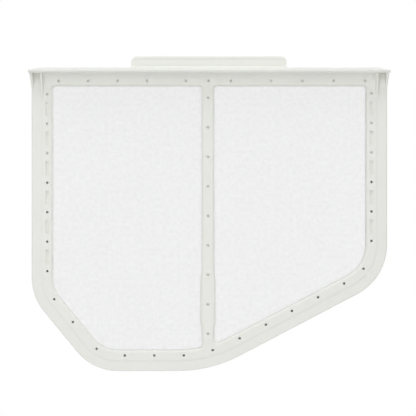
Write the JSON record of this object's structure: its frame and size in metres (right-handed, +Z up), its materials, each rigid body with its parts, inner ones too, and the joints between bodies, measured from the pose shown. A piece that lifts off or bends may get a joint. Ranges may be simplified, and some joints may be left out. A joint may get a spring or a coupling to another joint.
{
  "type": "tumble dryer lint filter",
  "caption": "Upright plastic lint filter panel with bevelled lower corners, a mesh screen in two windows, a top flange and a pull tab.",
  "frame": {"origin": "level with the underside of the top flange, halfway along the panel's width, in the middle of the mesh", "axes": "+Z up out of the dryer, towards the pull tab; +X to the right as seen from the front; the front faces -Y"},
  "size_m": [0.3092, 0.037, 0.2715],
  "materials": {
    "frame_plastic": "fine satin, off-white, injection moulded",
    "mesh_fabric": "plain weave of white single-filament threads"
  },
  "bodies": {
    "root": {"frame": "frame_plastic", "mesh_screen": "mesh_fabric"}
  },
  "joints": []
}
